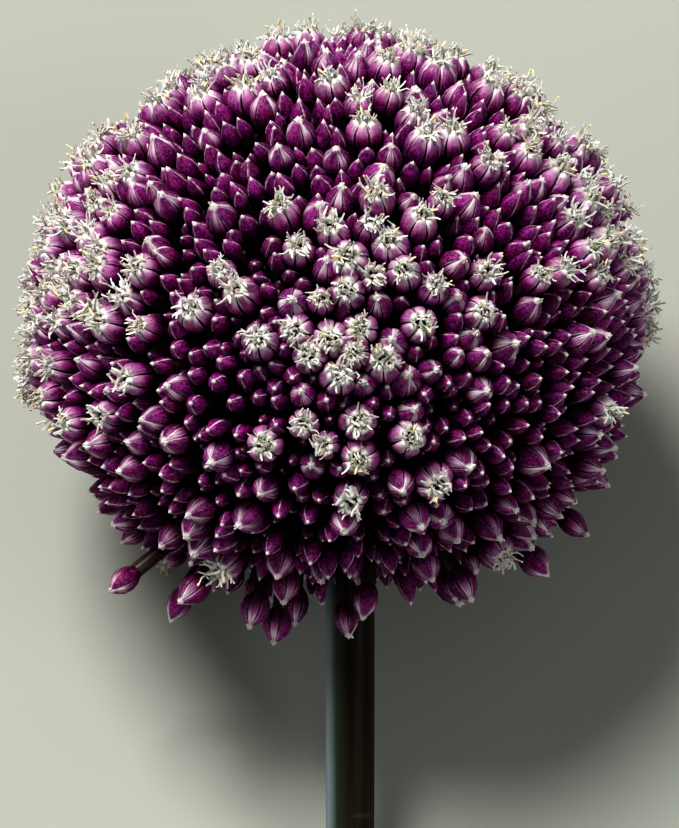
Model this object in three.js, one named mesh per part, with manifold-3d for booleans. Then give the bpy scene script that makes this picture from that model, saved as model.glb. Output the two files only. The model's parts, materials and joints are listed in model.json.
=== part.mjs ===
// An allium flower head, cut with a short length of its scape and laid down on a table.
//
// The scape is the round, solid flower stem. It ends in a small knob, the receptacle, and some hundreds of
// thin pedicels fan out from there in every direction. Each pedicel carries one floret: a closed bud, a
// plumper one about to open, or an open floret with a tuft of stamens at its mouth. The tips of the
// florets make a nearly round ball, and the knob sits a little below the middle of it, so the upper
// pedicels are the longest ones.
//
// Millimetres, +Z up, the table at z = 0. The head is turned towards +Y and the cut end of the scape towards
// -Y. The flower rests on three low points: the lower rim of the cut, and the two sides of the patch where
// the lowest florets are pressed level by the table. The origin is on the table, under the middle of the box.
//
// The florets here are larger than life and fewer, and they cover the same ball.
import * as THREE from "three";
import { mergeVertices } from "three/addons/utils/BufferGeometryUtils.js";
import Module from "manifold-3d";

const wasm = await Module();
wasm.setup();

// ---- Driving dimensions --------------------------------------------------------------------------------

const ballRadius = 40; // of the floret tips, across the scape
const ballHalfHeight = 38; // the same, along the scape
const ballRise = 9.5; // the middle of the ball above the middle of the knob
const ballLean = -1.4; // the middle of the ball to the side of the scape
const knobRadius = 9; // the receptacle, where it is widest
const knobWidest = -1.0; // the height of that place above the knob's middle
const knobFootRadius = 4.2;
const knobBottom = -6.6;
const knobShoulderRadius = 7.4;
const knobShoulder = 5.4;
const knobTop = 9.6;
const scapeRadius = 3.1; // under the knob
const scapeFlare = 0.25; // how much wider it gets where it meets the knob
const flareLength = 3;
const scapeEndRadius = 3.0; // at the cut
const lieAngle = 28; // degrees between the scape and the table
const pressedDepth = 1.2; // how far the ball is pressed in where it touches the table
const jointGap = 0.3; // between the scape and the knob

const floretCount = 330;
const openShare = 0.27; // of all florets
const plumpShare = 0.2; // buds about to open
const jitterShare = 0.2; // of the spacing
const stemClearance = 9.0; // from the scape's axis to the nearest floret tip under the knob
const pedicelRadius = 0.4; // at the root
const neckRadius = 0.75; // where the pedicel meets the floret
const rootDepth = 2.5; // from the middle of the knob to the root of a pedicel
const rootSpread = 4.8; // from the scape's axis to the roots of the pedicels that point down

const tilt = THREE.MathUtils.degToRad(lieAngle);
const goldenAngle = Math.PI * (3 - Math.sqrt(5));
const knobSides = 6;
const scapeSides = 20;

// ---- The pose: the flower's own frame has the knob at its origin and the scape along -Z -----------------

const down = new THREE.Vector3(0, Math.cos(tilt), -Math.sin(tilt)); // the way to the table
const ballMiddle = new THREE.Vector3(ballLean, 0, ballRise);
const ballDepth = Math.hypot(ballRadius * down.y, ballHalfHeight * down.z);
const knobHeight = ballDepth - pressedDepth - ballRise * Math.sin(tilt);
const scapeEndFlat = scapeEndRadius * Math.cos(Math.PI / scapeSides); // to the middle of a side
const scapeLength = (knobHeight - scapeEndFlat * Math.cos(tilt)) / Math.sin(tilt);

const ballReach = Math.hypot(ballRadius * Math.sin(tilt), ballHalfHeight * Math.cos(tilt));
const farEnd = ballRise * Math.cos(tilt) + ballReach;
const nearEnd = scapeLength * Math.cos(tilt) + scapeEndRadius * Math.sin(tilt);

const flower = new THREE.Group();
flower.rotation.x = tilt - Math.PI / 2;
flower.position.set(-ballLean, (nearEnd - farEnd) / 2, knobHeight);

const heightOf = (point) => knobHeight - point.dot(down);

// ---- Solids --------------------------------------------------------------------------------------------

// A turned solid about Z from [radius, height, turn] points that start and end on the axis. The turn is
// counted in half sides: rings turned against each other make a body of few sides look rounder.
function turned(profile, sides) {
  const outline = profile.map(([radius, height]) => new THREE.Vector2(radius, height));
  const geometry = new THREE.LatheGeometry(outline, sides);
  const position = geometry.getAttribute("position");
  const point = new THREE.Vector3();
  const axis = new THREE.Vector3(0, 1, 0);
  for (let i = 0; i < position.count; i++) {
    const [, , halfSides = 0] = profile[i % profile.length];
    point.fromBufferAttribute(position, i).applyAxisAngle(axis, (-halfSides * Math.PI) / sides);
    position.setXYZ(i, point.x, point.y, point.z);
  }
  return geometry.rotateX(Math.PI / 2);
}

function solidOf(geometry) {
  const bare = new THREE.BufferGeometry()
    .setAttribute("position", geometry.getAttribute("position"))
    .setIndex(geometry.index);
  const merged = mergeVertices(bare, 1e-4);
  const index = merged.index.array;
  const triVerts = [];
  for (let i = 0; i < index.length; i += 3) {
    const [a, b, c] = [index[i], index[i + 1], index[i + 2]];
    if (a !== b && b !== c && c !== a) triVerts.push(a, b, c);
  }
  const vertProperties = merged.getAttribute("position").array;
  const mesh = new wasm.Mesh({ numProp: 3, vertProperties, triVerts: new Uint32Array(triVerts) });
  return new wasm.Manifold(mesh);
}

function geometryOf(solid) {
  const mesh = solid.getMesh();
  const points = new Float32Array(mesh.numVert * 3);
  for (let i = 0; i < mesh.numVert; i++) {
    points.set(mesh.vertProperties.subarray(i * mesh.numProp, i * mesh.numProp + 3), i * 3);
  }
  const geometry = new THREE.BufferGeometry()
    .setAttribute("position", new THREE.BufferAttribute(points, 3))
    .setIndex(new THREE.BufferAttribute(mesh.triVerts, 1));
  geometry.computeVertexNormals();
  return geometry;
}

// ---- The florets ---------------------------------------------------------------------------------------

// A floret is a body of two rings and a tip on a thin straight pedicel. Ring widths are shares of the
// belly's radius, and ring heights are shares of the length, counted back from the tip. A floret stays up to
// its shyness short of the ball.
const kinds = {
  bud: { length: 8.0, belly: 3.3, sides: 3, lower: [0.88, 0.66], upper: [0.78, 0.3], shyness: 1.8 },
  plump: { length: 8.2, belly: 3.7, sides: 3, lower: [0.94, 0.68], upper: [0.82, 0.3], shyness: 0.8 },
  open: { length: 8.0, belly: 3.9, sides: 4, lower: [0.95, 0.66], upper: [0.8, 0.28], shyness: 0.2 },
};

function floretGeometry(kind, reach) {
  const { length, belly, sides, lower, upper } = kinds[kind];
  const profile = [
    [0, rootDepth],
    [pedicelRadius, rootDepth],
    [neckRadius, reach - length],
    [belly * lower[0], reach - length * lower[1], 1],
    [belly * upper[0], reach - length * upper[1], 2],
    [0, reach],
  ];
  return turned(profile, sides);
}

// A repeatable draw from 0 to 1.
function seededDraw(seed) {
  let state = seed;
  return () => {
    state = (state * 1664525 + 1013904223) % 4294967296;
    return state / 4294967296;
  };
}

// The tips lie on the ball, evenly spread by the golden angle and then jittered.
function floretPlaces() {
  const draw = seededDraw(11);
  const spacing = Math.sqrt((4 * Math.PI * ballRadius ** 2) / floretCount);
  const places = [];
  for (let i = 0; i < floretCount; i++) {
    const rise = 1 - (2 * (i + 0.5)) / floretCount;
    const turn = i * goldenAngle;
    const ring = Math.sqrt(1 - rise * rise);
    const tip = new THREE.Vector3(ring * Math.cos(turn), ring * Math.sin(turn), rise);
    const jitter = new THREE.Vector3(draw() - 0.5, draw() - 0.5, draw() - 0.5);
    tip.addScaledVector(jitter, (jitterShare * spacing) / ballRadius).normalize();
    tip.multiply(new THREE.Vector3(ballRadius, ballRadius, ballHalfHeight)).add(ballMiddle);
    const chance = draw();
    const kind = chance < openShare ? "open" : chance < openShare + plumpShare ? "plump" : "bud";
    const nearStem = tip.z < 0 && Math.hypot(tip.x, tip.y) < stemClearance;
    if (!nearStem) places.push({ tip, kind, back: draw() * kinds[kind].shyness, spin: draw() * 2 * Math.PI });
  }
  return places;
}

const knobProfile = [
  [0, knobBottom],
  [knobFootRadius, knobBottom],
  [knobRadius, knobWidest],
  [knobShoulderRadius, knobShoulder],
  [0, knobTop],
];

function umbelSolid() {
  const up = new THREE.Vector3(0, 0, 1);
  const solids = [];
  const corner = new THREE.Vector3();
  for (const { tip, kind, back, spin } of floretPlaces()) {
    const spread = rootSpread * Math.max(0, -tip.z / tip.length());
    const root = new THREE.Vector3(tip.x, tip.y, 0).setLength(spread);
    const way = tip.clone().sub(root);
    let reach = way.length() - back;
    way.normalize();
    const turn = new THREE.Quaternion()
      .setFromUnitVectors(up, way)
      .multiply(new THREE.Quaternion().setFromAxisAngle(up, spin));
    let geometry;
    // A floret that would go below the table is drawn back until its lowest corner is on it.
    for (let pass = 0; pass < 3; pass++) {
      geometry = floretGeometry(kind, reach).applyQuaternion(turn).translate(...root);
      const position = geometry.getAttribute("position");
      let lowest = Infinity;
      for (let i = 0; i < position.count; i++) {
        lowest = Math.min(lowest, heightOf(corner.fromBufferAttribute(position, i)));
      }
      if (lowest > -1e-4) break;
      reach += lowest / way.dot(down);
    }
    solids.push(solidOf(geometry));
  }
  solids.push(solidOf(turned(knobProfile, knobSides)));
  return wasm.Manifold.union(solids);
}

// ---- The scape -----------------------------------------------------------------------------------------

function scapeGeometry() {
  const top = knobBottom - jointGap;
  const profile = [
    [0, -scapeLength],
    [scapeEndRadius, -scapeLength],
    [(scapeEndRadius + scapeRadius) / 2, (top - scapeLength) / 2],
    [scapeRadius, top - flareLength],
    [scapeRadius + scapeFlare, top],
    [0, top],
  ];
  // The middle of one side faces the table.
  return turned(profile, scapeSides).rotateZ(Math.PI / scapeSides);
}

const umbel = new THREE.Mesh(
  geometryOf(umbelSolid()),
  new THREE.MeshStandardMaterial({ color: 0x6e2059, roughness: 0.55, metalness: 0 }),
);
umbel.name = "umbel";
flower.add(umbel);

const scape = new THREE.Mesh(
  scapeGeometry(),
  new THREE.MeshStandardMaterial({ color: 0x3d3a2c, roughness: 0.5, metalness: 0 }),
);
scape.name = "scape";
flower.add(scape);

const part = new THREE.Group();
part.add(flower);
export default part;
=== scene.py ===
# A purple allium head on a short length of its scape, cut and laid down on a pale table.
import json
import math
from functools import partial

import bpy
import numpy as np
from mathutils import Matrix, Vector

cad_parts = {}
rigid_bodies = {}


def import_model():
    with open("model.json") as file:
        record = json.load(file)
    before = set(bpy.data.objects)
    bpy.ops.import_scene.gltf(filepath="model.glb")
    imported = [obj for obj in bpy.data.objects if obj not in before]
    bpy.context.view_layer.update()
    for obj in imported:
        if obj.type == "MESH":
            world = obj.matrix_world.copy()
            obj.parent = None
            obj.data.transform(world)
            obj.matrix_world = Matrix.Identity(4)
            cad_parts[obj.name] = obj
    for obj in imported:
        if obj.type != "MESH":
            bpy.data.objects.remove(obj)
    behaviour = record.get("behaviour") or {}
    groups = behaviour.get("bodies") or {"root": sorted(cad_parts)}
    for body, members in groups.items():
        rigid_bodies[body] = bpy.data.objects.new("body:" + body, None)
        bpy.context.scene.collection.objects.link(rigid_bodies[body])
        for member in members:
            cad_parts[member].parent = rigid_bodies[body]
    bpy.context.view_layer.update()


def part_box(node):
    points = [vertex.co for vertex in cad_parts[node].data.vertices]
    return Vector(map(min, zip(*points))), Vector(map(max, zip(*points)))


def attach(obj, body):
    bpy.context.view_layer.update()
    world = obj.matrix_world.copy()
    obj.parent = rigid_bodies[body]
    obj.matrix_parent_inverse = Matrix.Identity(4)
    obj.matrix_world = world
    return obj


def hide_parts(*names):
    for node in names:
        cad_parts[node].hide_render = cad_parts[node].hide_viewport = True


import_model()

# ---- Receptacle --------------------------------------------------------------
# The small solid knob in which the scape ends, green and dull purple. Every pedicel grows out of it, and
# they hide it from all sides.

KNOB_RADIUS = 8.6
KNOB_PROFILE = [  # (radius, height)
    (0, -6.6),
    (4.0, -6.6),
    (KNOB_RADIUS * 0.93, -2.2),
    (KNOB_RADIUS, 0.6),
    (7.4, 5.0),
    (4.4, 8.0),
    (0, 9.2),
]
KNOB_SIDES = 24

# The flower is modelled in its own frame, in millimetres. The receptacle is at the origin, the scape runs
# down -Z, and -Y is the side that ends up on top. The flower lies on the cut end of its scape and on the
# florets that press on the table.
MM = 0.001
LIE_ANGLE = math.radians(28)  # between the scape and the table
BALL_RADIUS = 40.0  # of the floret tips, across the scape
BALL_HALF_HEIGHT = 38.0  # the same, along the scape
BALL_MIDDLE = np.array([-1.4, 0.0, 9.5])  # seen from the receptacle
PRESSED_DEPTH = 1.2  # how far the ball is pressed in by the table
SCAPE_END_RADIUS = 3.0  # at the cut

DOWN = np.array([0.0, math.cos(LIE_ANGLE), -math.sin(LIE_ANGLE)])  # towards the table
ball_depth = math.hypot(BALL_RADIUS * DOWN[1], BALL_HALF_HEIGHT * DOWN[2])
knob_height = ball_depth - PRESSED_DEPTH - BALL_MIDDLE[2] * math.sin(LIE_ANGLE)
scape_length = (knob_height - SCAPE_END_RADIUS * math.cos(LIE_ANGLE)) / math.sin(LIE_ANGLE)
cut_reach = scape_length * math.cos(LIE_ANGLE) + SCAPE_END_RADIUS * math.sin(LIE_ANGLE)
scape_low, scape_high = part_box("scape")
scape_middle = (scape_low[0] + scape_high[0]) / 2
knob_place = Vector((scape_middle, scape_low[1] + MM * cut_reach, MM * knob_height))
TO_TABLE = (
    Matrix.Translation(knob_place)
    @ Matrix.Rotation(LIE_ANGLE - math.pi / 2, 4, "X")
    @ Matrix.Diagonal((MM, MM, MM, 1))
)


def in_scene(name, data):
    obj = bpy.data.objects.new(name, data)
    bpy.context.scene.collection.objects.link(obj)
    return obj


def laid_down(name, mesh, material):
    """An object of this mesh, moved from the flower's frame to where the flower lies."""
    mesh.transform(TO_TABLE)
    mesh.name = name
    mesh.materials.clear()
    mesh.materials.append(material)
    return in_scene(name, mesh)


def new_mesh(name, points, edges, faces):
    mesh = bpy.data.meshes.new(name)
    mesh.from_pydata([tuple(point) for point in points], edges, faces)
    return mesh


def ring_points(radii, height):
    """A ring of points at this height, as far from the axis as each of the radii."""
    turns = [2 * math.pi * i / len(radii) for i in range(len(radii))]
    return [(radius * math.cos(turn), radius * math.sin(turn), height) for radius, turn in zip(radii, turns)]


def ring_faces(first, rings, sides):
    """The faces between rings of points, of which the lowest ring starts with this point."""
    faces = []
    for k in range(rings - 1):
        for i in range(sides):
            a, b = first + k * sides + i, first + k * sides + (i + 1) % sides
            faces.append((a, b, b + sides, a + sides))
    return faces


def closed_body(name, points, sides):
    """A closed body of rings of points, between a first and a last point on the axis, from the bottom up."""
    rings = (len(points) - 2) // sides
    last = 1 + (rings - 1) * sides
    faces = [(0, 1 + (i + 1) % sides, 1 + i) for i in range(sides)]
    faces += ring_faces(1, rings, sides)
    faces += [(last + i, last + (i + 1) % sides, len(points) - 1) for i in range(sides)]
    return new_mesh(name, points, [], faces)


def knob_mesh():
    points = [(0, 0, KNOB_PROFILE[0][1])]
    for radius, height in KNOB_PROFILE[1:-1]:
        points += ring_points([radius] * KNOB_SIDES, height)
    points.append((0, 0, KNOB_PROFILE[-1][1]))
    return closed_body("receptacle", points, KNOB_SIDES)


def add(tree, kind, inputs=None, **properties):
    """A node of this kind with these properties, and its inputs linked to sockets or set to values."""
    node = tree.nodes.new(kind)
    for key, value in properties.items():
        setattr(node, key, value)
    for key, value in (inputs or {}).items():
        if isinstance(value, bpy.types.NodeSocket):
            tree.links.new(value, node.inputs[key])
        else:
            node.inputs[key].default_value = value
    return node


def new_material(name, constants):
    """A material with a Principled shader that has these constants on its own sockets."""
    material = bpy.data.materials.new(name)
    material.use_nodes = True
    tree = material.node_tree
    tree.nodes.clear()
    shader = add(tree, "ShaderNodeBsdfPrincipled", constants)
    add(tree, "ShaderNodeOutputMaterial", {0: shader.outputs[0]})
    return material, tree, shader


def object_coordinates(tree):
    return add(tree, "ShaderNodeTexCoord").outputs["Object"]


def noise(tree, vector, scale, detail=2.0, stretch=(1, 1, 1)):
    mapping = add(tree, "ShaderNodeMapping", {"Vector": vector, "Scale": stretch})
    inputs = {"Vector": mapping.outputs[0], "Scale": scale, "Detail": detail}
    return add(tree, "ShaderNodeTexNoise", inputs).outputs["Fac"]


def ramp(tree, value, stops):
    """A colour ramp with stops of (place, shade). A shade is a colour, or one number for a grey."""
    node = add(tree, "ShaderNodeValToRGB", {0: value})
    elements = node.color_ramp.elements
    while len(elements) < len(stops):
        elements.new(0.5)
    for element, (place, shade) in zip(elements, stops):
        element.position = place
        element.color = (*shade, 1) if isinstance(shade, tuple) else (shade, shade, shade, 1)
    return node.outputs[0]


def add_bump(tree, shader, height, strength, distance):
    bump = add(tree, "ShaderNodeBump", {"Height": height, "Strength": strength, "Distance": distance})
    tree.links.new(bump.outputs[0], shader.inputs["Normal"])


def pedicel_material():
    """Dull purple and green in patches, with a fine grain."""
    material, tree, shader = new_material("pedicel green and purple", {"Roughness": 0.45})
    where = object_coordinates(tree)
    patches = noise(tree, where, 160.0, 3.0)
    grain = noise(tree, where, 1500.0, 2.0)
    shades = [(0.35, (0.03, 0.006, 0.016)), (0.55, (0.05, 0.02, 0.022)), (0.75, (0.05, 0.045, 0.02))]
    tree.links.new(ramp(tree, patches, shades), shader.inputs["Base Color"])
    add_bump(tree, shader, grain, 0.2, 0.0001)
    return material


PEDICEL_SKIN = pedicel_material()
receptacle = laid_down("receptacle", knob_mesh(), PEDICEL_SKIN)
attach(receptacle, "root")
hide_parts("umbel")


# ---- Pedicels ----------------------------------------------------------------
# Thin round stalks that grow out of the receptacle in every direction, straight or slightly bowed. Each
# carries one floret, so the plan of all the florets comes first, and widens into the foot of its floret.

# A round allium opens from its crown and its edges inwards. Open florets are the widest and stand out the
# furthest, half-open ones sit a little lower, and closed buds fill what is left between them, lower still.
OPEN, HALF, BUD, SMALL = range(4)
ROOM = (2.08, 1.72, 1.2, 0.9)  # the radius that each kind keeps clear
LENGTH = (4.7, 5.0, 4.3, 3.1)  # of each kind, from foot to tip
BELLY = (2.14, 1.74, 1.2, 0.9)  # the radius of each kind
SHYNESS = (1.7, 2.0, 2.4, 4.4)  # how unevenly each kind stays back from the ball
ALWAYS_BACK = (0.0, 0.3, 0.8, 2.0)
SIZE_SPREAD = 0.085
SIZE_LIMITS = (0.82, 1.18)
SPIN_SPREAD = 0.35
LEAN = (0.2, 0.2, 0.13, 0.16)  # to either side of the pedicel, in radians
STAND_SEED = (6, 5, 3, 4)  # of the leans and tints; what stands on one kind leans with it

FLORETS = 2150  # places on the ball, before the underside is thinned
SCATTER = 0.022  # of the places, in radii of the ball
SETTLING_ROUNDS = 60
SETTLING_PUSH = 0.24  # the share of an overlap that each neighbour gives way in a round
NEIGHBOUR_ROUNDS = 10  # until the close neighbours are looked up again
SCAPE_CLEARANCE = 4.9  # from the scape's axis to the nearest floret
ROOT_SPREAD = 4.8  # pedicels that point down leave the receptacle this far from the scape's axis

# The underside is thinner: how far round it is, the share left out there, how much more room each keeps,
# and the share of gaps left empty.
HEIGHTS_BELOW = (0.15, 0.55, 1.0)
LEFT_OUT = (0.0, 0.36, 0.46)
ROOMIER = (1.0, 1.22, 1.3)
GAPS_LEFT = (0.0, 0.6, 0.8)
GAP_TRIES = 5000
GAP_CLEARANCE = 0.4  # from the room that the nearest floret keeps
GAP_SPACING = 1.7
HANGING_DEPTH = 14.0  # how differently the florets hang there
HANGING_FROM = 0.45  # how steeply down a pedicel points for this

# A few half-open florets hang lower than the rest, by their tips.
STRAY_SIZE = 0.96
STRAYS = [
    (-29.3, -9.0, -22.8),
    (-22.8, -4.0, -25.8),
    (-19.8, -13.0, -24.4),
    (-12.4, -11.0, -26.6),
    (-9.4, -6.0, -29.0),
    (-0.8, -9.0, -28.2),
    (2.6, -13.0, -25.6),
    (14.6, -10.0, -23.6),
    (24.2, -8.0, -20.4),
    (29.6, -5.0, -15.0),
]

# Where the florets are open: (across, up the scape, how wide the patch is, how likely there)
OPEN_PATCHES = [
    (-0.95, 0.08, 0.28, 0.38),
    (-0.76, 0.50, 0.26, 0.32),
    (-0.42, 0.92, 0.22, 0.32),
    (0.10, 1.00, 0.20, 0.34),
    (0.48, 0.60, 0.34, 0.15),
    (0.90, 0.36, 0.24, 0.24),
    (0.08, -0.10, 0.27, 0.60),
    (0.00, 0.26, 0.30, 0.44),
    (-0.45, -0.35, 0.14, 0.22),
    (0.20, -0.60, 0.16, 0.40),
]
# Where hardly any bud has opened yet
CLOSED_PATCHES = [(-0.38, 0.55, 0.26, 0.30), (0.62, -0.15, 0.28, 0.25), (-0.45, -0.15, 0.25, 0.12)]
NEAR_SIDE = 0.35  # how far round the patches reach; past it, they are mirrored for the far side
ELSEWHERE = (0.05, 0.14, 0.16)  # how likely a floret is open, half-open or small, away from the patches
OPEN_LIMITS = (0.02, 0.8)
HALF_LIMITS = (0.05, 0.5)
LOW_FROM = -0.22  # here the underside begins, and it is full LOW_DEPTH lower, in radii of the ball
LOW_DEPTH = 0.4

# What faces the table is drawn back until it lies on it.
FACING_TABLE = 0.8
TABLE_GAP = 0.3
BELLY_MARGIN = 1.1
TUFT_HEIGHT = 2.0  # how far the stamens stand out of an open floret
TUFT_RADIUS = 1.6

rng = np.random.default_rng(7)


def heights(points):
    """Millimetres above the table, for points in the flower's frame."""
    return knob_height - np.asarray(points) @ DOWN


def patch_chance(patches, across, up):
    return sum(
        chance * np.exp(-((across - middle) ** 2 + (up - rise) ** 2) / width**2)
        for middle, rise, width, chance in patches
    )


def draw_kinds(points):
    """The stage that each floret has reached. The patches go right round: the far side mirrors the near."""
    across = np.where(points[:, 1] < NEAR_SIDE, points[:, 0], -points[:, 0])
    up = points[:, 2]
    low = np.clip((LOW_FROM - up) / LOW_DEPTH, 0, 1)
    closed = patch_chance(CLOSED_PATCHES, across, up)
    chance_open, chance_half, chance_small = ELSEWHERE
    chance_open = np.clip(chance_open + patch_chance(OPEN_PATCHES, across, up) - closed, *OPEN_LIMITS)
    chance_open = chance_open * (1 - 0.8 * low)
    chance_half = np.clip(chance_half + 0.08 * low - 0.3 * closed, *HALF_LIMITS)
    chance_small = chance_small + 0.14 * low
    draw = rng.random(len(points))
    kinds = np.full(len(points), BUD)
    kinds[rng.random(len(points)) < chance_small] = SMALL
    kinds[draw < chance_open + chance_half] = HALF
    kinds[draw < chance_open] = OPEN
    return kinds


def settle(points, rooms):
    """Neighbours that stand too close push each other along the ball, as crowded florets do."""
    for round_number in range(SETTLING_ROUNDS):
        if round_number % NEIGHBOUR_ROUNDS == 0:
            closeness = points @ points.T
            first, second = np.nonzero(np.triu(closeness > math.cos(3 * rooms.max() / BALL_RADIUS), 1))
            wanted = (rooms[first] + rooms[second]) / BALL_RADIUS
        apart = points[first] - points[second]
        gap = np.linalg.norm(apart, axis=1) + 1e-9
        push = SETTLING_PUSH * (np.clip(wanted - gap, 0, None) / gap)[:, None] * apart
        np.add.at(points, first, push)
        np.add.at(points, second, -push)
        points /= np.linalg.norm(points, axis=1)[:, None]
    return points


def gap_places(points, rooms):
    """Where the settled florets still leave room for a small bud, deeper between them."""
    tries = rng.normal(size=(GAP_TRIES, 3))
    tries /= np.linalg.norm(tries, axis=1)[:, None]
    tries = tries[rng.random(GAP_TRIES) > np.interp(-tries[:, 2], HEIGHTS_BELOW, GAPS_LEFT)]
    apart = BALL_RADIUS * np.sqrt(np.clip(2 - 2 * tries @ points.T, 0, None))
    chosen = np.empty((0, 3))
    for place in tries[(apart - rooms).min(axis=1) > GAP_CLEARANCE]:
        if not len(chosen) or (chosen @ place).max() < math.cos(GAP_SPACING / BALL_RADIUS):
            chosen = np.vstack([chosen, place])
    return chosen


def tips_and_kinds():
    """The places of all florets by their tips, evenly spread over the ball and then settled."""
    index = np.arange(FLORETS)
    rise = 1 - 2 * (index + 0.5) / FLORETS
    turn = index * math.pi * (3 - math.sqrt(5))
    ring = np.sqrt(1 - rise**2)
    points = np.stack([ring * np.cos(turn), ring * np.sin(turn), rise], axis=1)
    points += rng.normal(0, SCATTER, points.shape)
    points /= np.linalg.norm(points, axis=1)[:, None]
    thinned = rng.random(FLORETS) < np.interp(-points[:, 2], HEIGHTS_BELOW, LEFT_OUT)
    points = points[~thinned]
    kinds = draw_kinds(points)
    rooms = np.array(ROOM)[kinds]
    points = settle(points, rooms * np.interp(-points[:, 2], HEIGHTS_BELOW, ROOMIER))
    gaps = gap_places(points, rooms)
    points = np.vstack([points, gaps])
    kinds = np.append(kinds, [SMALL] * len(gaps))
    tips = points * np.array([BALL_RADIUS, BALL_RADIUS, BALL_HALF_HEIGHT]) + BALL_MIDDLE
    bare = (tips[:, 2] < 0) & (np.hypot(tips[:, 0], tips[:, 1]) < SCAPE_CLEARANCE)
    tips = np.vstack([tips[~bare], STRAYS])
    kinds = np.append(kinds[~bare], [HALF] * len(STRAYS))
    return tips, kinds


def tepal_spins(ways):
    """The turn of each floret that brings one outer tepal round to the near side of the head, or to the far
    side for the florets over there."""
    spins = []
    for way in ways:
        face = Vector((0, -1 if way[1] < 0.1 else 1, 0))
        turn = Vector((0, 0, 1)).rotation_difference(Vector(way)).to_matrix()
        spins.append(math.atan2(face @ turn.col[1], face @ turn.col[0]))
    return np.array(spins)


def lay_out():
    """The plan of all florets: where the pedicel leaves the receptacle, the way it goes and how far it
    reaches, and the floret's length, size, kind and spin."""
    tips, kinds = tips_and_kinds()
    count = len(tips)
    is_stray = np.arange(count) >= count - len(STRAYS)

    roots = tips * np.array([1, 1, 0])
    sideways = np.linalg.norm(roots, axis=1)[:, None] + 1e-9
    steep = np.clip(-tips[:, 2] / np.linalg.norm(tips, axis=1), 0, 1)[:, None]
    roots = roots / sideways * ROOT_SPREAD * steep
    reach = np.linalg.norm(tips - roots, axis=1)
    ways = (tips - roots) / reach[:, None]

    back = np.array(SHYNESS)[kinds] * (0.25 + 0.75 * rng.random(count)) + np.array(ALWAYS_BACK)[kinds]
    back += np.clip(steep[:, 0] - HANGING_FROM, 0, 0.5) * HANGING_DEPTH * rng.random(count) ** 2
    reach -= np.where(is_stray, 0, back)

    # Nothing that faces the table is wider than a half-open floret.
    facing = ways @ DOWN
    kinds[(facing > FACING_TABLE) & (kinds == OPEN)] = HALF
    sizes = np.where(is_stray, STRAY_SIZE, np.clip(rng.normal(1.0, SIZE_SPREAD, count), *SIZE_LIMITS))
    lengths = np.array(LENGTH)[kinds] * sizes
    bellies = np.array(BELLY)[kinds] * sizes * BELLY_MARGIN
    for _ in range(3):
        tip_heights = heights(roots + ways * (reach + 0.3)[:, None])
        belly_heights = heights(roots + ways * (reach - 0.5 * lengths)[:, None])
        belly_heights -= bellies * np.sqrt(np.clip(1 - facing**2, 0, 1))
        tuft_heights = heights(roots + ways * (reach + TUFT_HEIGHT)[:, None]) - TUFT_RADIUS
        tuft_heights[kinds != OPEN] = np.inf
        lowest = np.minimum(np.minimum(tip_heights, belly_heights), tuft_heights) - TABLE_GAP
        reach += np.where(lowest < 0, lowest, 0) / np.clip(facing, 0.2, 1)
    spins = tepal_spins(ways) + rng.normal(0, SPIN_SPREAD, count)
    # Where the tepals stand open, any of them may face the near side.
    spins = spins + rng.uniform(0, 6.3, count) * (kinds < BUD)
    return dict(root=roots, way=ways, reach=reach, length=lengths, size=sizes, kind=kinds, spin=spins)


plan = lay_out()

PEDICEL_RADII = [(0.0, 0.2), (0.85, 0.25), (1.0, 0.46)]  # along the pedicel, from the receptacle
PEDICEL_STEPS = 4
PEDICEL_SIDES = 5
PEDICEL_START = 3.0  # from the middle of the receptacle
PEDICEL_SUNK = 0.35  # into the foot of the floret
PEDICEL_BOW = 0.6
PEDICEL_SEED = 21


def mark(mesh, name, values):
    """Gives every point of the mesh a value of this name."""
    mesh.attributes.new(name, "FLOAT", "POINT").data.foreach_set("value", values)


def pedicel_lines():
    """A bent line of a few points for every pedicel, from inside the receptacle to the floret's foot."""
    draw = np.random.default_rng(PEDICEL_SEED)
    points, edges, thick = [], [], []
    for root, way, reach, length in zip(plan["root"], plan["way"], plan["reach"], plan["length"]):
        foot = root + way * (reach - length + PEDICEL_SUNK)
        side = np.cross(way, draw.normal(size=3))
        side *= draw.uniform(0, 1.3) / (np.linalg.norm(side) + 1e-9)
        start = root + way * PEDICEL_START
        for step in range(PEDICEL_STEPS):
            share = step / (PEDICEL_STEPS - 1)
            if step:
                edges.append((len(points) - 1, len(points)))
            bow = side * math.sin(math.pi * share) * PEDICEL_BOW
            points.append(start + (foot - start) * share + bow)
            thick.append(np.interp(share, *zip(*PEDICEL_RADII)))
    mesh = new_mesh("pedicel lines", points, edges, [])
    mark(mesh, "thick", thick)
    return in_scene("pedicel lines", mesh)


def new_tree(name, inputs):
    """A geometry tree with a Geometry input and output, a Material input, and the named inputs."""
    tree = bpy.data.node_groups.new(name, "GeometryNodeTree")
    tree.interface.new_socket("Geometry", in_out="OUTPUT", socket_type="NodeSocketGeometry")
    tree.interface.new_socket("Geometry", in_out="INPUT", socket_type="NodeSocketGeometry")
    tree.interface.new_socket("Material", in_out="INPUT", socket_type="NodeSocketMaterial")
    for key, kind in inputs:
        tree.interface.new_socket(key, in_out="INPUT", socket_type=kind)
    return tree, add(tree, "NodeGroupInput")


def finish_tree(tree, given, geometry):
    """Ends the tree: makes its instances real, and gives them the material."""
    real = add(tree, "GeometryNodeRealizeInstances", {"Geometry": geometry})
    links = {"Geometry": real.outputs[0], "Material": given.outputs["Material"]}
    done = add(tree, "GeometryNodeSetMaterial", links)
    add(tree, "NodeGroupOutput", {0: done.outputs[0]})


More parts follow.
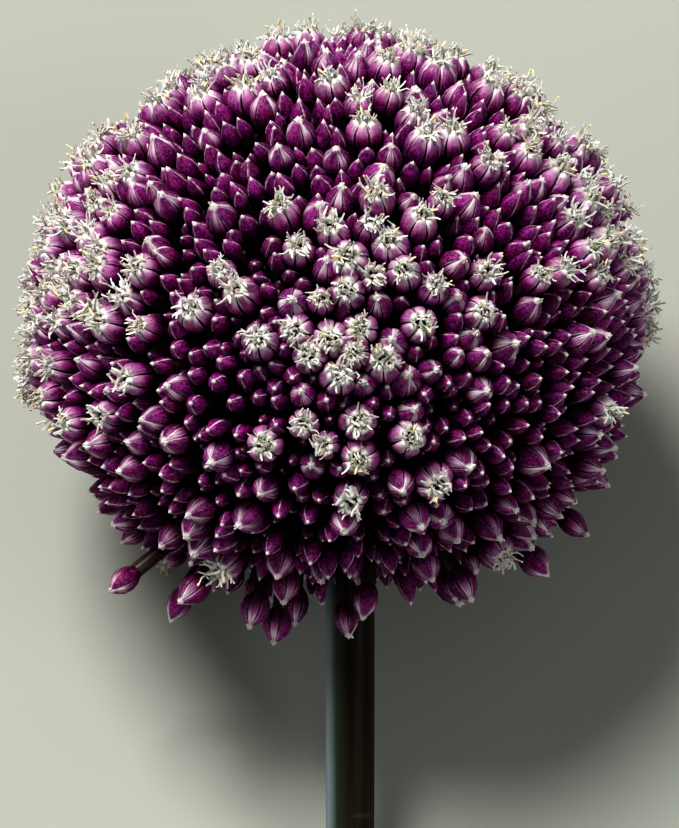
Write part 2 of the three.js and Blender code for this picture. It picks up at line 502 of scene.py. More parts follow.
def grown(carrier, tree, settings):
    """The mesh that the tree makes on this object, which is then removed."""
    modifier = carrier.modifiers.new("grow", "NODES")
    modifier.node_group = tree
    inputs = [item for item in tree.interface.items_tree if item.in_out == "INPUT"]
    identifiers = {item.name: item.identifier for item in inputs}
    for name, value in settings.items():
        modifier[identifiers[name]] = value
    bpy.context.view_layer.update()
    shown = carrier.evaluated_get(bpy.context.evaluated_depsgraph_get())
    mesh = bpy.data.meshes.new_from_object(shown)
    bpy.data.objects.remove(carrier, do_unlink=True)
    return mesh


def pedicel_tree():
    """Sweeps a small ring along every line, as wide as the line's thickness there."""
    tree, given = new_tree("pedicels", [("Sides", "NodeSocketInt"), ("Thickness", "NodeSocketFloat")])
    thick = add(tree, "GeometryNodeInputNamedAttribute", {"Name": "thick"}, data_type="FLOAT")
    lines = add(tree, "GeometryNodeMeshToCurve", {"Mesh": given.outputs["Geometry"]})
    sized = add(tree, "GeometryNodeSetCurveRadius", {"Curve": lines.outputs[0], "Radius": thick.outputs[0]})
    sizes = {"Resolution": given.outputs["Sides"], "Radius": given.outputs["Thickness"]}
    ring = add(tree, "GeometryNodeCurvePrimitiveCircle", sizes)
    curves = {"Curve": sized.outputs[0], "Profile Curve": ring.outputs[0], "Fill Caps": True}
    swept = add(tree, "GeometryNodeCurveToMesh", curves)
    finish_tree(tree, given, swept.outputs[0])
    return tree


pedicel_settings = {"Sides": PEDICEL_SIDES, "Thickness": 1.0, "Material": PEDICEL_SKIN}
pedicels = laid_down("pedicels", grown(pedicel_lines(), pedicel_tree(), pedicel_settings), PEDICEL_SKIN)
pedicels.data.shade_smooth()
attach(pedicels, "root")
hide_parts("umbel")


# ---- Closed buds -------------------------------------------------------------
# A pointed bud shut by three keeled outer tepals. Each overlaps the next along a thin pale margin, and the
# margins meet in a small white point. The small buds are younger ones, deeper between the others.

BUD_LOBES = [1.4, 0.8, 0.8]
BUD_SAMPLES = [0.0, 0.1, 0.5, 0.9]
# The rings of a floret, in shares of its length and belly: (height, radius, notch, inside). The last two
# may be left out.
BUD_RINGS = [(0.0, 0.26), (0.1, 0.70), (0.28, 0.98), (0.47, 1.0), (0.67, 0.77), (0.87, 0.32), (0.96, 0.11)]
BUD_HABITS = [  # (width, depth of the keels, twist, hook)
    (1.0, 0.15, 0.3, 0.25),
    (0.9, 0.2, -0.2, 0.1),
    (1.08, 0.12, 0.35, 0.3),
    (0.96, 0.18, -0.3, -0.2),
]
TINT_SPREAD = 50.0  # sets the patterns of the florets apart
INNER_SHOWN = (0, 1.0, 0, 0.6, 0, 0.8)  # how much of each inner tepal shows, between the outer ones


def floret_mesh(name, rings, widths, samples, wave, twist, hook):
    """A closed body of lobes, with sharp seams between them. Each ring is (height, radius, notch, inside),
    widths are the lobes' widths in turn, and each sample is a share of the lobe's width. wave(share, lobe,
    ring) gives the radius factor and the lift there. The seams wind round by twist from foot to tip, and
    the tip is bent aside by hook. The mesh carries where each point is on its tepal: across, 0 at the keel
    to 1 at the edge, but 0 all over the half that is tucked under the next tepal of a bud, along, 0 at the
    foot to 1 at the tip, inner, 1 inside the mouth, and behind, up to 1 on the inner tepals."""
    points, across, along, inner, behind = [], [], [], [], []
    top = max(ring[0] for ring in rings)
    is_bud = len(widths) == len(BUD_LOBES)
    starts = (np.concatenate([[0], np.cumsum(widths)]) - widths[0] / 2) * 2 * math.pi / sum(widths)
    for ring in rings:
        height, radius, _, inside = ring
        aside = hook * (height / top) ** 6
        for lobe in range(len(widths)):
            for share in samples:
                wide, lift = wave(share, lobe, ring)
                angle = starts[lobe] + share * (starts[lobe + 1] - starts[lobe]) + twist * height / top
                x, y = radius * wide * math.cos(angle) + aside, radius * wide * math.sin(angle)
                points.append((x, y, height + lift))
                across.append(0.0 if is_bud and 0 < share < 0.5 else abs(2 * share - 1))
                along.append(height / top)
                inner.append(inside)
                behind.append(0 if is_bud else INNER_SHOWN[lobe])
    around = len(widths) * len(samples)
    faces = ring_faces(0, len(rings), around)
    for ring, first, is_foot in ((rings[0], 0, True), (rings[-1], (len(rings) - 1) * around, False)):
        aside = 0.0 if is_foot else hook
        peak = 0.0 if is_foot else (-0.04 if ring[3] else 0.06 * top)
        points.append((aside, 0, ring[0] + peak))
        across.append(0)
        along.append(ring[0] / top)
        inner.append(ring[3])
        behind.append(0)
        for i in range(around):
            j = (i + 1) % around
            pair = (first + j, first + i) if is_foot else (first + i, first + j)
            faces.append((*pair, len(points) - 1))
    mesh = new_mesh(name, points, [], faces)
    mesh.shade_smooth()
    for key, values in (("across", across), ("along", along), ("inner", inner), ("behind", behind)):
        mark(mesh, key, values)
    seam = [all(v < len(points) - 2 and v % len(samples) == 0 for v in edge.vertices) for edge in mesh.edges]
    mesh.attributes.new("sharp_edge", "BOOLEAN", "EDGE").data.foreach_set("value", seam)
    return mesh


def sized_rings(rings, kind, wide):
    """The rings of this kind of floret in millimetres, wide times as wide as most."""
    length, belly = LENGTH[kind], BELLY[kind] * wide
    full = [(*ring, 0, 0)[:4] for ring in rings]
    return [(height * length, radius * belly, notch, inside) for height, radius, notch, inside in full]


def bud_wave(keel):
    """The outer tepals' slightly keeled section, with one edge of each laid over the next."""

    def wave(share, lobe, ring):
        lift = keel * (1 - abs(2 * share - 1)) ** 1.4
        overlap = -0.08 if share == 0.0 else 0.0
        tucked = -0.03 * max(0.0, share - 0.8) / 0.2
        return 0.96 + lift + overlap + tucked, 0.0

    return wave


def floret_shapes(name, kind, rings, lobes, samples, habits, wave_of):
    """One floret for each of the habits: how wide it is, what its wave depends on, its twist and its hook."""
    shapes = []
    for number, (wide, depth, twist, hook) in enumerate(habits):
        body = sized_rings(rings, kind, wide)
        shapes.append(floret_mesh(f"{name} {number}", body, lobes, samples, wave_of(depth), twist, hook))
    return shapes


# What each point carries from the plan: (name, type, field)
PLAN_VALUES = (("way", "FLOAT_VECTOR", "vector"), ("spin", "FLOAT", "value"), ("size", "FLOAT", "value"))
MOST_PICKS = 60  # a multiple of each number of shapes, so that all are picked as often


def points_object(name, chosen):
    """One loose point at the foot of each chosen floret, with the way it faces, its spin and its size."""
    feet = plan["root"] + plan["way"] * (plan["reach"] - plan["length"])[:, None]
    mesh = new_mesh(name, feet[chosen], [], [])
    for key, kind, field in PLAN_VALUES:
        values = np.ascontiguousarray(plan[key][chosen], dtype=np.float32).ravel()
        mesh.attributes.new(key, kind, "POINT").data.foreach_set(field, values)
    return in_scene(name, mesh)


def turned_by(tree, rotation, turn):
    links = {"Rotation": rotation, "Rotate By": turn}
    return add(tree, "FunctionNodeRotateRotation", links, rotation_space="LOCAL").outputs[0]


def stand_tree():
    """Stands one of the shapes on every point, facing its way or nearly so, with a tint of its own."""
    inputs = [("Shapes", "NodeSocketCollection"), ("Lean", "NodeSocketFloat"), ("Seed", "NodeSocketInt")]
    tree, given = new_tree("florets on their pedicels", inputs)
    way, spin, size = (
        add(tree, "GeometryNodeInputNamedAttribute", {"Name": key}, data_type=kind).outputs[0]
        for key, kind, _ in PLAN_VALUES
    )
    seed = {"Seed": given.outputs["Seed"]}
    facing = add(tree, "FunctionNodeAlignRotationToVector", {"Vector": way}, axis="Z")
    turn = add(tree, "FunctionNodeAxisAngleToRotation", {"Axis": (0, 0, 1), "Angle": spin})
    spun = turned_by(tree, facing.outputs[0], turn.outputs[0])
    lean = given.outputs["Lean"]
    back = add(tree, "ShaderNodeMath", {0: lean, 1: -1}, operation="MULTIPLY")
    low = add(tree, "ShaderNodeCombineXYZ", {"X": back.outputs[0], "Y": back.outputs[0]})
    high = add(tree, "ShaderNodeCombineXYZ", {"X": lean, "Y": lean})
    limits = {"Min": low.outputs[0], "Max": high.outputs[0], **seed}
    drawn = add(tree, "FunctionNodeRandomValue", limits, data_type="FLOAT_VECTOR")
    lean_turn = add(tree, "FunctionNodeEulerToRotation", {"Euler": drawn.outputs[0]})
    leant = turned_by(tree, spun, lean_turn.outputs[0])
    given_shapes = {"Collection": given.outputs["Shapes"], "Separate Children": True, "Reset Children": True}
    shapes = add(tree, "GeometryNodeCollectionInfo", given_shapes, transform_space="RELATIVE")
    pick = add(tree, "FunctionNodeRandomValue", {4: 0, 5: MOST_PICKS, **seed}, data_type="INT")
    standing = {
        "Points": given.outputs["Geometry"],
        "Instance": shapes.outputs[0],
        "Pick Instance": True,
        "Instance Index": pick.outputs[2],
        "Rotation": leant,
        "Scale": size,
    }
    stood = add(tree, "GeometryNodeInstanceOnPoints", standing)
    tint = add(tree, "FunctionNodeRandomValue", seed, data_type="FLOAT")
    stored = {"Geometry": stood.outputs[0], "Name": "tint", "Value": tint.outputs[1]}
    tinted = add(tree, "GeometryNodeStoreNamedAttribute", stored, data_type="FLOAT", domain="INSTANCE")
    finish_tree(tree, given, tinted.outputs[0])
    return tree


STAND = stand_tree()


def stand_on_pedicels(name, kind, shapes, material):
    """A piece with one of the shapes on every pedicel of this kind."""
    collection = bpy.data.collections.new(name + " shapes")
    for number, mesh in enumerate(shapes):
        collection.objects.link(bpy.data.objects.new(f"{name} shape {number}", mesh))
    settings = {"Shapes": collection, "Material": material, "Lean": LEAN[kind], "Seed": STAND_SEED[kind]}
    mesh = grown(points_object(name + " points", plan["kind"] == kind), STAND, settings)
    for shape in list(collection.objects):
        bpy.data.objects.remove(shape, do_unlink=True)
    bpy.data.collections.remove(collection)
    piece = laid_down(name, mesh, material)
    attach(piece, "root")
    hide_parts("umbel")
    return piece


def attribute(tree, name):
    return add(tree, "ShaderNodeAttribute", attribute_name=name).outputs["Fac"]


def maths(tree, kind, first, second=0.0):
    return add(tree, "ShaderNodeMath", {0: first, 1: second}, operation=kind).outputs[0]


def product(tree, first, *others):
    for other in others:
        first = maths(tree, "MULTIPLY", first, other)
    return first


def laid_over(tree, under, colour, amount, stops=None):
    """A colour over what is under it, as strong as the amount, or as the ramp of the amount says."""
    if stops:
        amount = ramp(tree, amount, stops)
    if isinstance(colour, tuple):
        colour = (*colour, 1)
    return add(tree, "ShaderNodeMix", {0: amount, 6: under, 7: colour}, data_type="RGBA").outputs[2]


def tepal_finish():
    """A shader group for all tepals, which are thin, satin and faintly veined along their length. They are
    deep purple, paler towards the tip, and greyish where they leave the pedicel. Pale From is where along
    the tepal the pale bands begin. Pale is their strength, and Pale Outer is their share on the outer
    tepals. Midrib is how plain the maroon midrib of the inner tepals is. Edge is the strength of the thin
    pale margin. Seam is how dark the painted shade line between neighbours is, and Wedge is how much
    wider it gets towards the foot. Tip is where along the tepal its white tip begins. Inside the mouth the
    colour is darkened as painted shade, and fine pale speckles stand for painted highlights."""
    tree = bpy.data.node_groups.new("tepal finish", "ShaderNodeTree")
    for key in ("Pale From", "Pale", "Pale Outer", "Midrib", "Edge", "Seam", "Wedge", "Tip"):
        tree.interface.new_socket(key, in_out="INPUT", socket_type="NodeSocketFloat")
    for key, kind in (("Color", "Color"), ("Roughness", "Float"), ("Height", "Float")):
        tree.interface.new_socket(key, in_out="OUTPUT", socket_type="NodeSocket" + kind)
    given = add(tree, "NodeGroupInput").outputs
    carried = ("across", "along", "tint", "inner", "behind")
    across, along, tint, inner, behind = (attribute(tree, name) for name in carried)

    place = {"X": across, "Y": along, "Z": product(tree, tint, TINT_SPREAD)}
    on_tepal = add(tree, "ShaderNodeCombineXYZ", place).outputs[0]
    veins = noise(tree, on_tepal, 4.5, 3.0, (2.2, 0.6, 1))
    blotch = noise(tree, on_tepal, 2.4, 2.0)
    grain = noise(tree, object_coordinates(tree), 2400.0, 2.0)
    painted_glints = noise(tree, object_coordinates(tree), 4600.0, 0.0)

    # Deep purple, maroon at the foot and brighter towards the tip
    length_shades = [
        (0.0, (0.07, 0.05, 0.035)),
        (0.12, (0.04, 0.001, 0.018)),
        (0.4, (0.11, 0.001, 0.062)),
        (0.7, (0.27, 0.004, 0.19)),
        (1.0, (0.38, 0.04, 0.29)),
    ]
    # Some florets are darker than others, and some are ruddier.
    ruddy = maths(tree, "FRACT", product(tree, tint, 7.0))
    base = ramp(tree, along, length_shades)
    varied = laid_over(tree, base, (0.09, 0.002, 0.08), tint, [(0.0, 0.0), (1.0, 0.7)])
    varied = laid_over(tree, varied, (0.19, 0.004, 0.075), ruddy, [(0.5, 0.0), (1.0, 0.6)])
    varied = laid_over(tree, varied, (0.055, 0.001, 0.035), blotch, [(0.38, 0.6), (0.5, 0.0)])
    veined = laid_over(tree, varied, (0.52, 0.08, 0.43), veins, [(0.48, 0.0), (0.7, 0.4)])
    speckled = laid_over(tree, veined, (0.05, 0.001, 0.045), grain, [(0.39, 0.8), (0.53, 0.0)])
    # Fine pale speckles, painted as tiny highlights.
    speckled = laid_over(tree, speckled, (0.52, 0.18, 0.46), painted_glints, [(0.62, 0.0), (0.74, 0.35)])

    # The inner tepals are pale on both sides of a maroon midrib, and the outer ones towards their edges.
    midrib = product(tree, ramp(tree, across, [(0.1, 0.8), (0.28, 0.0)]), behind)
    midrib = product(tree, midrib, ramp(tree, along, [(0.5, 1.0), (0.85, 0.0)]), given["Midrib"])
    ribbed = laid_over(tree, speckled, (0.10, 0.001, 0.035), midrib)
    toward_tip = maths(tree, "SUBTRACT", along, given["Pale From"])
    toward_tip = ramp(tree, toward_tip, [(0.0, 0.0), (0.2, 0.4), (0.45, 1.0)])
    near_midrib = product(tree, ramp(tree, across, [(0.0, 0.7), (0.3, 0.4), (0.7, 0.0)]), given["Midrib"])
    flank_inner = maths(tree, "SUBTRACT", 1.0, near_midrib)
    flank_outer = product(tree, ramp(tree, across, [(0.1, 0.15), (0.8, 1.0)]), given["Pale Outer"])
    flank = add(tree, "ShaderNodeMix", {0: behind, 2: flank_outer, 3: flank_inner}).outputs[0]
    mottled = maths(tree, "ADD", product(tree, veins, 0.4), product(tree, blotch, 0.6))
    streaky = ramp(tree, mottled, [(0.36, 0.1), (0.56, 1.0)])
    band = product(tree, toward_tip, flank, streaky, given["Pale"])
    band_shades = [(0.1, (0.60, 0.12, 0.40)), (0.5, (0.80, 0.42, 0.66)), (0.9, (0.86, 0.76, 0.81))]
    banded = laid_over(tree, ribbed, ramp(tree, toward_tip, band_shades), band)

    margin = product(
        tree,
        ramp(tree, across, [(0.76, 0.0), (0.80, 1.0), (0.93, 1.0), (0.97, 0.0)]),
        ramp(tree, along, [(0.15, 0.0), (0.45, 1.0)]),
        ramp(tree, grain, [(0.42, 0.4), (0.54, 1.0)]),
        given["Edge"],
    )
    edged = laid_over(tree, banded, (0.82, 0.62, 0.75), margin)
    # Painted shade in the groove between neighbouring tepals: a dark line along their edges, wider towards
    # the foot.
    wedge = product(tree, maths(tree, "SUBTRACT", 1.0, along), given["Wedge"])
    line = ramp(tree, maths(tree, "ADD", across, wedge), [(0.92, 0.0), (1.0, 1.0)])
    seam_shaded = laid_over(tree, edged, (0.03, 0.001, 0.012), product(tree, line, given["Seam"]))
    at_tip = maths(tree, "SUBTRACT", along, given["Tip"])
    tipped = laid_over(tree, seam_shaded, (0.78, 0.74, 0.70), at_tip, [(0.0, 0.0), (0.06, 0.95)])
    # Painted shade inside the mouth of the floret.
    shaded = laid_over(tree, tipped, (0.10, 0.03, 0.05), inner)
    roughness = ramp(tree, veins, [(0.3, 0.30), (0.7, 0.46)])
    height = maths(tree, "ADD", veins, product(tree, grain, 0.45))
    add(tree, "NodeGroupOutput", {"Color": shaded, "Roughness": roughness, "Height": height})
    return tree


TEPAL_FINISH = tepal_finish()


def tepal_material(name, **settings):
    """The tepal finish with these settings, which are its inputs by their names in small letters."""
    constants = {
        "Specular IOR Level": 0.25,
        "Sheen Weight": 0.05,
        "Sheen Roughness": 0.3,
        "Sheen Tint": (1.0, 0.78, 0.95, 1),
    }
    material, tree, shader = new_material(name, constants)
    inputs = {key.replace("_", " ").title(): value for key, value in settings.items()}
    finish = add(tree, "ShaderNodeGroup", inputs, node_tree=TEPAL_FINISH)
    tree.links.new(finish.outputs["Color"], shader.inputs["Base Color"])
    tree.links.new(finish.outputs["Roughness"], shader.inputs["Roughness"])
    add_bump(tree, shader, finish.outputs["Height"], 0.5, 0.0002)
    return material


bud_finish = tepal_material(
    "bud tepals",
    pale_from=0.5, pale=0.4, pale_outer=0.6, midrib=0.0, edge=1.0,
    seam=0.7, wedge=0.05, tip=0.92,
)
shapes = floret_shapes("bud", BUD, BUD_RINGS, BUD_LOBES, BUD_SAMPLES, BUD_HABITS, bud_wave)
buds = stand_on_pedicels("closed_buds", BUD, shapes, bud_finish)
shapes = floret_shapes("small", SMALL, BUD_RINGS[::2], BUD_LOBES, BUD_SAMPLES, BUD_HABITS, bud_wave)
small_buds = stand_on_pedicels("small_buds", SMALL, shapes, bud_finish)


# ---- Half-open florets -------------------------------------------------------
# The bud has filled out, and the three inner tepals show between the outer ones. Pale bands run from the
# small mouth down the tepals.

HALF_LOBES = [1.35, 0.7, 1.1, 0.85, 1.2, 0.8]
HALF_SAMPLES = [0.0, 0.14, 0.5, 0.86]
HALF_RINGS = [
    (0.0, 0.26),
    (0.09, 0.58),
    (0.27, 0.89),
    (0.49, 1.0),
    (0.69, 0.86, 0.3),
    (0.85, 0.52, 0.6),
    (0.95, 0.26, 1.0),
    (1.0, 0.13, 1.0),
]
HALF_HABITS = [(1.0, 0.09, 0.1, 0.0), (0.92, 0.12, 0.25, 0.0), (1.08, 0.08, -0.1, 0.0)]


def tepal_wave(outer_lift, notch_depth, seam):
    """Tepals in a ring, outer and inner by turns, with a sharp groove between neighbours."""

    def wave(share, lobe, ring):
        edge = abs(2 * share - 1)
        outer = outer_lift if lobe % 2 == 0 else -outer_lift
        groove = seam * max(0.0, (edge - 0.45) / 0.55) ** 2
        closing = 0.25 + 0.75 * min(1.0, ring[0] / 3.2)
        return 1.0 + (outer - groove) * closing, -notch_depth * ring[2] * edge**2

    return wave


half_finish = tepal_material(
    "half-open tepals",
    pale_from=0.34, pale=1.0, pale_outer=0.1, midrib=0.2, edge=0.25,
    seam=0.85, wedge=0.24, tip=0.92,
)
half_wave = partial(tepal_wave, 0.05, 0.3)
shapes = floret_shapes("half", HALF, HALF_RINGS, HALF_LOBES, HALF_SAMPLES, HALF_HABITS, half_wave)
half_open = stand_on_pedicels("half_open_florets", HALF, shapes, half_finish)


# ---- Open florets ------------------------------------------------------------
# Six boat-shaped tepals stand together as an urn. They bulge, with grooves between them that carry a painted
# shade line, and draw in again to a round mouth that is white at its rim, with painted shade inside.

OPEN_LOBES = [1.2, 0.85, 1.05, 0.95, 1.1, 0.85]
OPEN_SAMPLES = [0.0, 0.13, 0.35, 0.65, 0.87]
OPEN_RINGS = [
    (0.0, 0.22),
    (0.1, 0.56),
    (0.29, 0.88),
    (0.53, 1.0, 0.1),
    (0.75, 0.93, 0.4),
    (0.91, 0.68, 0.8),
    (1.0, 0.44, 1.0),
    (0.93, 0.34, 1.0, 0.4),
    (0.66, 0.36, 0.3, 1),
]
OPEN_HABITS = [(1.0, 0.2, 0.0, 0.0), (0.92, 0.25, 0.15, 0.0), (1.07, 0.17, -0.12, 0.0)]

open_finish = tepal_material(
    "open tepals",
    pale_from=0.46, pale=0.95, pale_outer=0.8, midrib=1.0, edge=0.25,
    seam=0.9, wedge=0.24, tip=0.9,
)
open_wave = partial(tepal_wave, 0.03, 0.7)
shapes = floret_shapes("open", OPEN, OPEN_RINGS, OPEN_LOBES, OPEN_SAMPLES, OPEN_HABITS, open_wave)
open_florets = stand_on_pedicels("open_florets", OPEN, shapes, open_finish)


# ---- Stamens -----------------------------------------------------------------
# The filaments are split into long curled threads, cream-white, which crowd the mouth as a frill. A few
# stand out further and carry a small yellowish anther. The pale ovary sits in the middle. A half-open floret
# shows only its first crumpled threads.

THREAD_STEPS = 5
THREAD_SIDES = 3
THREAD_ROOT = 0.45  # how far below the mouth the threads start
ANTHER_SIDES = 4
ANTHER_RADII = (0.07, 0.16, 0.15, 0.05)
ANTHER_REACH = (-0.02, 0.12, 0.26, 0.36)  # from the end of the thread, in the way that it goes
OVARY_SIDES = 6
OVARY_HEIGHTS = (-1.6, -1.0, -0.65, -0.4)  # from the mouth
OVARY_RADII = (0.4, 0.46, 0.34, 0.1)  # in radii of the mouth
THREAD, ANTHER, OVARY = 0.0, 1.0, 2.0
OPEN_TUFT_SEEDS = range(40, 46)
HALF_TUFT_SEEDS = range(60, 64)
LONG_THREADS = (0, 1, 0, 1, 0, 0)  # in each of the open tufts


def add_tube(points, faces, path, radii, sides):
    """A closed tube of few sides along a path of points. Gives how many points that took."""
    first = len(points)
    for k, (place, radius) in enumerate(zip(path, radii)):
        ahead = path[min(k + 1, len(path) - 1)] - path[max(k - 1, 0)]
        ahead /= np.linalg.norm(ahead) + 1e-9
        side = np.cross(ahead, (0.31, 0.2, 0.93))
        side /= np.linalg.norm(side) + 1e-9
        other = np.cross(ahead, side)
        for i in range(sides):
            angle = 2 * math.pi * i / sides
            points.append(tuple(place + radius * (side * math.cos(angle) + other * math.sin(angle))))
    faces += ring_faces(first, len(path), sides)
    faces.append(tuple(first + i for i in reversed(range(sides))))
    faces.append(tuple(first + (len(path) - 1) * sides + i for i in range(sides)))
    return len(points) - first


def tuft_mesh(name, seed, threads, mouth, rise, length, long_threads, anther_chance):
    """The threads of one floret. mouth is the radius that they leave from, and rise is its height."""
    draw = np.random.default_rng(seed)
    points, faces, part = [], [], []
    for number in range(threads):
        angle = 2 * math.pi * (number + draw.uniform(-0.3, 0.3)) / threads
        out = np.array([math.cos(angle), math.sin(angle), 0.0])
        place = out * mouth * draw.uniform(0.35, 0.95) + np.array([0, 0, rise - THREAD_ROOT])
        is_long = number < long_threads
        lift = draw.uniform(0.8, 1.0) if is_long else draw.uniform(0.65, 1.25)
        heading = out * draw.uniform(-0.15, 0.8) + np.array([0, 0, lift])
        step = (length * 1.25 if is_long else length * draw.uniform(0.7, 1.2)) / (THREAD_STEPS - 1)
        path = []
        for _ in range(THREAD_STEPS):
            path.append(place.copy())
            place = place + step * heading / np.linalg.norm(heading)
            heading = heading + draw.normal(0, 0.2 if is_long else 0.68, 3)
        radii = draw.uniform(0.13, 0.2) * np.linspace(1.15, 0.65, THREAD_STEPS)
        part += [THREAD] * add_tube(points, faces, path, radii, THREAD_SIDES)
        if is_long or draw.random() < anther_chance:
            swell = [path[-1] + heading * ahead for ahead in ANTHER_REACH]
            part += [ANTHER] * add_tube(points, faces, swell, ANTHER_RADII, ANTHER_SIDES)
    ovary = [np.array([0, 0, rise + height]) for height in OVARY_HEIGHTS]
    radii = [radius * mouth for radius in OVARY_RADII]
    part += [OVARY] * add_tube(points, faces, ovary, radii, OVARY_SIDES)
    mesh = new_mesh(name, points, [], faces)
    mark(mesh, "part", part)
    return mesh


def stamen_material():
    """Cream threads, yellowish anthers and a dull pink ovary."""
    constants = {"Roughness": 0.6, "Subsurface Weight": 0.15, "Subsurface Scale": 0.0004}
    material, tree, shader = new_material("stamen cream", constants)
    part = attribute(tree, "part")
    threads = ramp(tree, attribute(tree, "tint"), [(0.0, (0.59, 0.58, 0.51)), (1.0, (0.67, 0.65, 0.63))])
    is_anther = maths(tree, "COMPARE", part, ANTHER)
    with_anthers = laid_over(tree, threads, (0.78, 0.70, 0.40), is_anther)
    is_ovary = maths(tree, "GREATER_THAN", part, (ANTHER + OVARY) / 2)
    coloured = laid_over(tree, with_anthers, (0.50, 0.36, 0.36), is_ovary)
    tree.links.new(coloured, shader.inputs["Base Color"])
    return material


STAMEN_CREAM = stamen_material()
rise = LENGTH[OPEN] * 0.95
shapes = [
    tuft_mesh(f"tuft {seed}", seed, 22, 0.96, rise, 2.0, long_threads, 0.03)
    for seed, long_threads in zip(OPEN_TUFT_SEEDS, LONG_THREADS)
]
stamens = stand_on_pedicels("stamens", OPEN, shapes, STAMEN_CREAM)
rise = LENGTH[HALF] * 0.99
shapes = [tuft_mesh(f"first threads {seed}", seed, 5, 0.3, rise, 0.6, 0, 0.0) for seed in HALF_TUFT_SEEDS]
first_stamens = stand_on_pedicels("first_stamens", HALF, shapes, STAMEN_CREAM)


# ---- Scape -------------------------------------------------------------------
# The round, solid flower stem, dark and waxy, with fine ribs along it and a few pale scuffs across it. It is
# cut square, and the cut shows a pale green pith.

SCAPE_RADIUS = 3.1  # under the receptacle
SCAPE_FLARE = 0.25  # how much wider it gets in its top twentieth
SCAPE_TOP = -6.9
SCAPE_SIDES = 72
SCAPE_RINGS = 60
SKIN_INSET = 0.03
RIB_DEPTH = 0.022
RIB_SEED = 5
RIND = 0.45  # from the skin to the pith, at the cut
CUT_DEPTH = 0.11  # what is nearer the end than this belongs to the cut


def scape_mesh():
    """The ribbed stem, with the cut at its lower end a little hollow towards the middle. The mesh carries
    where it is cut, and how far round towards the left edge, where the highlight is painted, each point is."""
    ribs = np.random.default_rng(RIB_SEED).normal(0, RIB_DEPTH, SCAPE_SIDES)
    ribs = ribs - ribs.mean()
    # (share of the radius, height, how much of the ribs and the flare shows)
    rings = [(0.0, -scape_length + 0.1, 0), (0.55, -scape_length + 0.06, 0)]
    rings += [(1 - RIND / SCAPE_END_RADIUS, -scape_length + 0.03, 0), (0.97, -scape_length, 0)]
    rings += [(1.0, height, 1) for height in np.linspace(-scape_length + 0.12, SCAPE_TOP, SCAPE_RINGS)]
    rings += [(0.0, SCAPE_TOP, 0)]
    points = []
    for share, height, skin in rings:
        along = (height + scape_length) / (SCAPE_TOP + scape_length)
        radius = SCAPE_END_RADIUS + (SCAPE_RADIUS - SCAPE_END_RADIUS) * along
        radius += SCAPE_FLARE * max(0.0, (along - 0.95) / 0.05) * skin
        if share == 0.0:
            points.append((0, 0, height))
            continue
        points += ring_points(share * radius - SKIN_INSET + ribs * skin, height)
    mesh = closed_body("scape", points, SCAPE_SIDES)
    mark(mesh, "cut", [1.0 if point[2] < -scape_length + CUT_DEPTH else 0.0 for point in points])
    # How far round towards the left edge each point is. The painted highlight lies there.
    mark(mesh, "lit_edge", [-point[0] / SCAPE_END_RADIUS for point in points])
    mesh.shade_smooth()
    return mesh


def scape_material():
    """Dark brown fibres under a thin bloom, with pale scuffs, a painted highlight down one edge and a
    brownish painted rim light down the other, and green where the stem is cut.
    """
    constants = {"Specular IOR Level": 0.25, "Specular Tint": (0.92, 1.0, 0.85, 1)}
    material, tree, shader = new_material("scape skin", constants)
    turn = {"Vector": object_coordinates(tree), "Rotation": (-LIE_ANGLE, 0, 0)}
    lengthways = add(tree, "ShaderNodeMapping", turn).outputs[0]
    fibres = noise(tree, lengthways, 900.0, 3.0, (1, 0.03, 1))
    bloom = noise(tree, lengthways, 140.0, 3.0, (1, 0.3, 1))
    scuffs = noise(tree, lengthways, 160.0, 1.0, (0.35, 3.0, 0.35))
    skin_shades = [(0.3, (0.014, 0.007, 0.004)), (0.5, (0.028, 0.016, 0.010)), (0.7, (0.055, 0.038, 0.026))]
    skin = ramp(tree, fibres, skin_shades)
    waxy = laid_over(tree, skin, (0.05, 0.052, 0.036), bloom, [(0.4, 0.0), (0.75, 0.3)])
    scuffed = laid_over(tree, waxy, (0.24, 0.20, 0.12), scuffs, [(0.72, 0.0), (0.76, 0.12)])
    # Painted highlight down the left edge: greener towards it and blue-grey at the very edge, broken up by
    # the bloom. Opposite it, a brownish painted rim light down the right edge.
    lit_edge = maths(tree, "ADD", attribute(tree, "lit_edge"), product(tree, bloom, 0.25))
    green = laid_over(tree, scuffed, (0.04, 0.065, 0.04), lit_edge, [(0.2, 0.0), (0.9, 0.9)])
    far_side = product(tree, lit_edge, -1.0)
    painted_rim_light = laid_over(tree, green, (0.10, 0.06, 0.02), far_side, [(0.7, 0.0), (0.95, 0.6)])
    painted_edge_highlight = laid_over(tree, painted_rim_light, (0.22, 0.25, 0.265), lit_edge, [(0.68, 0.0), (1.0, 0.95)])
    cut = attribute(tree, "cut")
    with_pith = laid_over(tree, painted_edge_highlight, (0.30, 0.36, 0.14), cut, [(0.0, 0.0), (0.6, 1.0)])
    tree.links.new(with_pith, shader.inputs["Base Color"])
    tree.links.new(ramp(tree, bloom, [(0.3, 0.5), (0.7, 0.65)]), shader.inputs["Roughness"])
    add_bump(tree, shader, fibres, 0.3, 0.0002)
    return material


scape = laid_down("scape_skin", scape_mesh(), scape_material())
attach(scape, "root")
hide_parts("scape")


# ---- Table, light and camera -------------------------------------------------
# A plain pale table, one large soft light from the upper left of the view, a weak fill, a low light from the
# side, and a camera that looks down on the flower, square to its scape.

TABLE_REACH = 1.5  # to each side of the flower, in metres
TABLE_CORNERS = [(-1, -1), (1, -1), (1, 1), (-1, 1)]
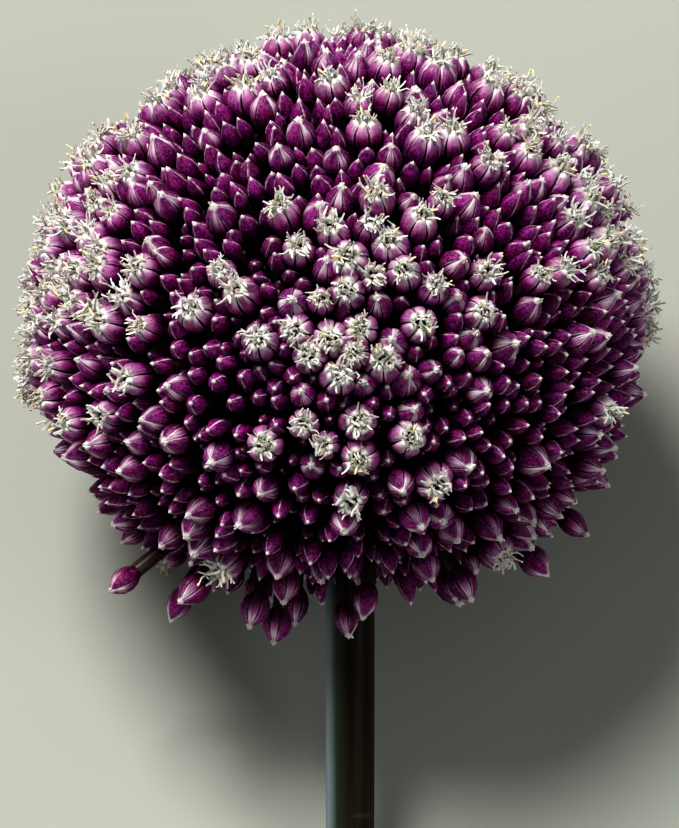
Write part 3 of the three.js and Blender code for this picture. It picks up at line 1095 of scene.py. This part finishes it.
# (name, direction from the receptacle in the flower's frame, distance, size, watts, colour)
LIGHTS = [
    ("key light", (-0.34, -0.74, 0.76), 0.9, 0.38, 7.2, (1.0, 0.99, 0.97)),
    ("fill light", (0.72, -0.75, -0.1), 1.1, 0.6, 2.3, (0.95, 0.97, 1.0)),
    ("side light", (-1.0, -0.34, -0.3), 0.6, 0.3, 0.45, (0.93, 0.98, 1.0)),
]
SKY_COLOUR = (0.80, 0.86, 0.82, 1)
SKY_STRENGTH = 0.2
CAMERA_DISTANCE = 0.56
SENSOR_HEIGHT = 24.0
FRAME_PIXELS = (679, 828)
PIXELS_PER_MM = 8.1
KNOB_PIXEL = (350, 407)  # where the receptacle's middle falls in the frame


def table_material():
    """Pale grey-green, slightly cloudy."""
    material, tree, shader = new_material("table", {"Roughness": 0.85})
    cloud = noise(tree, object_coordinates(tree), 6.0, 3.0)
    shade = ramp(tree, cloud, [(0.3, (0.36, 0.365, 0.33)), (0.7, (0.40, 0.405, 0.37))])
    tree.links.new(shade, shader.inputs["Base Color"])
    return material


def from_flower(direction):
    """A direction of the flower's frame, as it lies on the table."""
    return (TO_TABLE.to_3x3() @ Vector(direction)).normalized()


def aimed(obj, place, target, up=Vector((0, 0, 1))):
    """Stands an object at a place, looking at the target, with its top towards up."""
    back = (place - target).normalized()
    right = up.cross(back).normalized()
    top = back.cross(right)
    turn = Matrix((right, top, back)).transposed().to_4x4()
    obj.matrix_world = Matrix.Translation(place) @ turn


corners = [(x * TABLE_REACH, y * TABLE_REACH, 0) for x, y in TABLE_CORNERS]
table_mesh = new_mesh("table", corners, [], [(0, 1, 2, 3)])
table_mesh.materials.append(table_material())
table = in_scene("table", table_mesh)

for name, direction, distance, size, power, colour in LIGHTS:
    light = bpy.data.lights.new(name, "AREA")
    light.shape = "DISK"
    light.size = size
    light.energy = power
    light.color = colour
    aimed(in_scene(name, light), knob_place + from_flower(direction) * distance, knob_place)

world = bpy.data.worlds.new("studio")
bpy.context.scene.world = world
world.use_nodes = True
background = world.node_tree.nodes["Background"]
background.inputs["Color"].default_value = SKY_COLOUR
background.inputs["Strength"].default_value = SKY_STRENGTH

camera_data = bpy.data.cameras.new("camera")
camera = in_scene("camera", camera_data)
to_right = (FRAME_PIXELS[0] / 2 - KNOB_PIXEL[0]) / PIXELS_PER_MM
to_top = (KNOB_PIXEL[1] - FRAME_PIXELS[1] / 2) / PIXELS_PER_MM
aim = TO_TABLE @ Vector((to_right, 0, to_top))
aimed(camera, aim + from_flower((0, -1, 0)) * CAMERA_DISTANCE, aim, from_flower((0, 0, 1)))
camera_data.sensor_fit = "VERTICAL"
camera_data.sensor_height = SENSOR_HEIGHT
camera_data.lens = SENSOR_HEIGHT * CAMERA_DISTANCE / (MM * FRAME_PIXELS[1] / PIXELS_PER_MM)
camera_data.clip_start = 0.01
bpy.context.scene.camera = camera

bpy.context.scene.view_settings.view_transform = "Standard"
bpy.context.scene.view_settings.look = "Very High Contrast"
